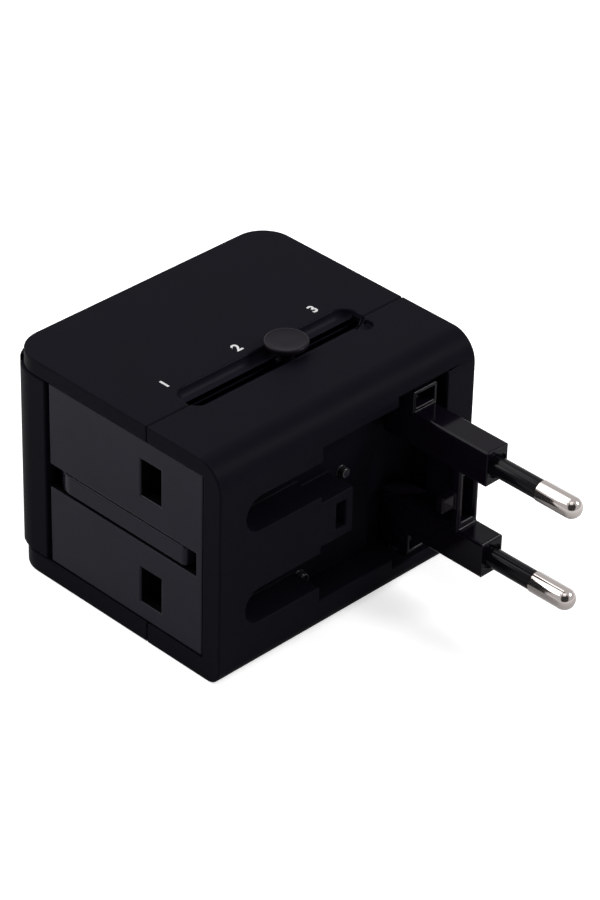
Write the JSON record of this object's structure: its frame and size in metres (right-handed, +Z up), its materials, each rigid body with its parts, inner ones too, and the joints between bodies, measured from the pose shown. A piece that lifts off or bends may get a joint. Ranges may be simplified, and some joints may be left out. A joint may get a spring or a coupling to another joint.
{
  "type": "universal travel adapter",
  "caption": "Block-shaped travel plug adapter with a universal socket, a folding round-pin plug, a slider for flat pins and a fold-out earth pin.",
  "frame": {"origin": "centre of the case's flat underside, at the height of what it rests on", "axes": "+X out of the face that the round-pin plug folds out of, +Y out of the flat blades' face, +Z up through the face with the slider"},
  "size_m": [0.0904, 0.0616, 0.0468],
  "materials": {
    "case_plastic": "fine satin grain, black",
    "panel_plastic": "smooth satin, black with a cool tint",
    "cap_plastic": "fine satin grain, black",
    "gloss_plastic": "polished black",
    "knob_plastic": "satin dark grey",
    "sleeve_plastic": "semi gloss black",
    "inner_plastic": "plain moulded dark grey",
    "nickel": "bright nickel plate",
    "contact_brass": "stamped strip, bright",
    "steel": "zinc plated",
    "fuse_ceramic": "glazed ceramic, off white",
    "lens_red": "clear tinted red",
    "lamp_glass": "clear"
  },
  "bodies": {
    "case": {"socket_shell": "case_plastic", "plug_shell": "case_plastic", "socket_cap": "cap_plastic", "uk_panel": "panel_plastic", "us_panel": "panel_plastic", "inner_frame": "inner_plastic", "slide_rail": "inner_plastic", "line_bus": "contact_brass", "neutral_bus": "contact_brass", "bus_rivets": "contact_brass", "line_contact": "contact_brass", "neutral_contact": "contact_brass", "fuse_body": "fuse_ceramic", "fuse_caps": "nickel", "fuse_clip_in": "contact_brass", "fuse_clip_out": "contact_brass", "link_in": "contact_brass", "link_out": "contact_brass", "indicator_lens": "lens_red", "indicator_lamp": "lamp_glass", "case_screws": "steel", "fold_pins": "steel", "earth_pivot": "steel"},
    "slider": {"slide_carriage": "inner_plastic", "slide_knob": "knob_plastic", "uk_line_pin": "nickel", "uk_neutral_pin": "nickel", "uk_line_sleeve": "sleeve_plastic", "uk_neutral_sleeve": "sleeve_plastic", "line_wiper": "contact_brass", "neutral_wiper": "contact_brass"},
    "us_line_blade": {"us_line_blade": "nickel"},
    "us_neutral_blade": {"us_neutral_blade": "nickel"},
    "euro_plug": {"euro_plug_body": "gloss_plastic", "euro_line_pin": "nickel", "euro_neutral_pin": "nickel", "euro_line_sleeve": "sleeve_plastic", "euro_neutral_sleeve": "sleeve_plastic"},
    "uk_earth": {"uk_earth_pin": "panel_plastic"}
  },
  "joints": [
    {"name": "slider_travel", "type": "slide", "parent": "case", "child": "slider", "axis": [0, 1, 0], "range_m": [-0.0219, 0.0152]},
    {"name": "plug_fold", "type": "hinge", "parent": "case", "child": "euro_plug", "pos_m": [0.022, 0.017, 0.0224], "axis": [0, 0, -1], "range_deg": [0, 90]},
    {"name": "earth_fold", "type": "hinge", "parent": "case", "child": "uk_earth", "pos_m": [-0.01137, -0.02453, 0.0224], "axis": [0, 0, -1], "range_deg": [0, 90]},
    {"name": "line_blade_turn", "type": "hinge", "parent": "slider", "child": "us_line_blade", "pos_m": [0.0091, 0.0125, 0.02875], "axis": [0, 1, 0], "range_deg": [0, 30]},
    {"name": "neutral_blade_turn", "type": "hinge", "parent": "slider", "child": "us_neutral_blade", "pos_m": [0.0091, 0.0125, 0.01605], "axis": [0, 1, 0], "range_deg": [-30, 0]}
  ]
}
